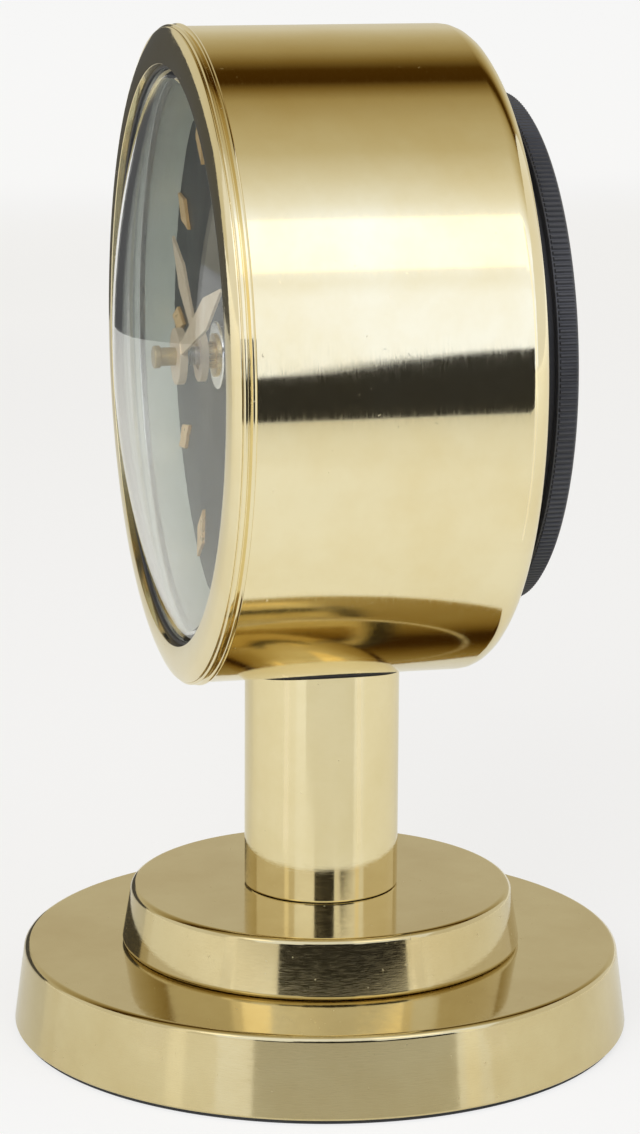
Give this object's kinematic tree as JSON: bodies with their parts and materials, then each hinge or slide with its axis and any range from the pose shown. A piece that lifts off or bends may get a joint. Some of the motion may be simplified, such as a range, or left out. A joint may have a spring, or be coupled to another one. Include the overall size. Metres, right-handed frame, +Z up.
{
  "type": "desk clock with calendar",
  "caption": "Round brass pedestal desk clock with a domed glass, black dial, lozenge hands and markers, a date window and a ribbed rear cap.",
  "frame": {"origin": "centre of the base's underside", "axes": "+Z up, the dial faces -Y, three o'clock towards +X"},
  "size_m": [0.121, 0.1172, 0.19],
  "materials": {
    "case_brass": "mirror polished and lacquered",
    "movement_brass": "brushed",
    "knob_brass": "knurled",
    "steel": "fine turned",
    "nickel": "nickel plated",
    "ring_metal": "satin",
    "reflector": "satin anodised",
    "felt": "pressed felt",
    "black_rubber": "smooth",
    "black_plastic": "fine moulded grain",
    "glass": "clear",
    "dial_black": "gloss lacquer",
    "marker_gold": "gilt",
    "hand_gold": "pale gilt",
    "date_white": "white lacquer with black numbers",
    "copper": "enamelled wire",
    "cell_sleeve": "plain printed sleeve"
  },
  "bodies": {
    "case": {"base_foot_pad": "felt", "base_disc": "case_brass", "base_weight": "steel", "base_tier": "case_brass", "base_washer": "steel", "base_nut": "steel", "tie_rod": "steel", "column": "case_brass", "saddle_gasket": "black_rubber", "drum_saddle": "steel", "drum_saddle_nut": "steel", "case_drum": "case_brass", "bezel": "case_brass", "glass_gasket": "black_rubber", "glass": "glass", "glass_retaining_ring": "ring_metal", "reflector_ring": "reflector", "dial": "dial_black", "hour_markers": "marker_gold", "date_window_frame": "marker_gold", "dial_centre_nut": "nickel", "calendar_plate": "movement_brass", "date_jumper": "steel", "front_plate": "movement_brass", "centre_bush": "movement_brass", "back_plate": "movement_brass", "plate_pillars": "steel", "plate_screws": "steel", "minute_stud": "steel", "hairspring": "steel", "balance_cock": "movement_brass", "cock_screw": "steel", "drive_coil": "copper", "rear_plate": "black_plastic", "case_pillars": "steel", "case_screws": "steel", "battery_tray": "black_plastic", "battery_cell": "cell_sleeve", "battery_contacts": "nickel"},
    "minute_hand_group": {"centre_arbor": "movement_brass", "cannon_pinion": "steel", "minute_hand": "hand_gold", "hand_nut": "nickel"},
    "hour_hand_group": {"hour_wheel": "movement_brass", "hour_hand": "hand_gold"},
    "minute_wheel_body": {"minute_wheel": "movement_brass"},
    "date_drive": {"date_drive_wheel": "movement_brass", "date_finger": "steel"},
    "hand_setter": {"hand_set_arbor": "steel", "hand_set_knob": "knob_brass"},
    "third_wheel_body": {"third_wheel": "movement_brass"},
    "index_wheel_body": {"index_wheel": "movement_brass"},
    "calendar_ring": {"date_ring": "date_white"},
    "date_setter": {"date_set_arbor": "steel", "date_set_knob": "knob_brass"},
    "balance": {"balance_wheel": "movement_brass", "balance_magnets": "steel"},
    "cap_ring": {"cap_spring_ring": "steel"},
    "cap": {"rear_cap": "black_plastic"}
  },
  "joints": [
    {"name": "minute_turn", "type": "hinge", "parent": "case", "child": "minute_hand_group", "pos_m": [0, 0, 0.1295], "axis": [0, 1, 0], "continuous": true},
    {"name": "hour_turn", "type": "hinge", "parent": "case", "child": "hour_hand_group", "pos_m": [0, 0, 0.1295], "axis": [0, 1, 0], "continuous": true},
    {"name": "minute_wheel_turn", "type": "hinge", "parent": "case", "child": "minute_wheel_body", "pos_m": [0, 0, 0.1415], "axis": [0, 1, 0], "continuous": true},
    {"name": "date_drive_turn", "type": "hinge", "parent": "case", "child": "date_drive", "pos_m": [0, 0, 0.1007], "axis": [0, 1, 0], "continuous": true, "deforming": ["date_finger"]},
    {"name": "hand_set_turn", "type": "hinge", "parent": "case", "child": "hand_setter", "pos_m": [0.00848, 0, 0.14999], "axis": [0, 1, 0], "continuous": true},
    {"name": "third_wheel_turn", "type": "hinge", "parent": "case", "child": "third_wheel_body", "pos_m": [0.01269, 0, 0.12358], "axis": [0, 1, 0], "continuous": true},
    {"name": "index_wheel_turn", "type": "hinge", "parent": "case", "child": "index_wheel_body", "pos_m": [0.01512, 0, 0.13737], "axis": [0, 1, 0], "continuous": true},
    {"name": "date_ring_turn", "type": "hinge", "parent": "case", "child": "calendar_ring", "pos_m": [0, 0, 0.1295], "axis": [0, 1, 0], "continuous": true, "deforming": ["date_jumper"]},
    {"name": "date_set_turn", "type": "hinge", "parent": "case", "child": "date_setter", "pos_m": [-0.01952, 0, 0.14902], "axis": [0, 1, 0], "continuous": true},
    {"name": "balance_swing", "type": "hinge", "parent": "case", "child": "balance", "pos_m": [0.02413, 0, 0.14257], "axis": [0, 1, 0], "range_deg": [-135, 135], "stiffness_Nm_per_rad": 0.00002, "deforming": ["hairspring"]},
    {"name": "cap_pull", "type": "slide", "parent": "case", "child": "cap_ring", "axis": [0, 1, 0], "range_m": [0, 0.014]},
    {"name": "cap_turn", "type": "hinge", "parent": "cap_ring", "child": "cap", "pos_m": [0, 0.032, 0.1295], "axis": [0, 1, 0], "continuous": true}
  ],
  "couplings": [
    {"joint": "hour_turn", "follows": "minute_turn", "ratio": 0.083333},
    {"joint": "minute_wheel_turn", "follows": "minute_turn", "ratio": -0.33333},
    {"joint": "date_drive_turn", "follows": "minute_turn", "ratio": -0.041667},
    {"joint": "hand_set_turn", "follows": "minute_turn", "ratio": 1},
    {"joint": "third_wheel_turn", "follows": "minute_turn", "ratio": -6},
    {"joint": "index_wheel_turn", "follows": "minute_turn", "ratio": 36},
    {"joint": "date_set_turn", "follows": "date_ring_turn", "ratio": 3.875}
  ]
}
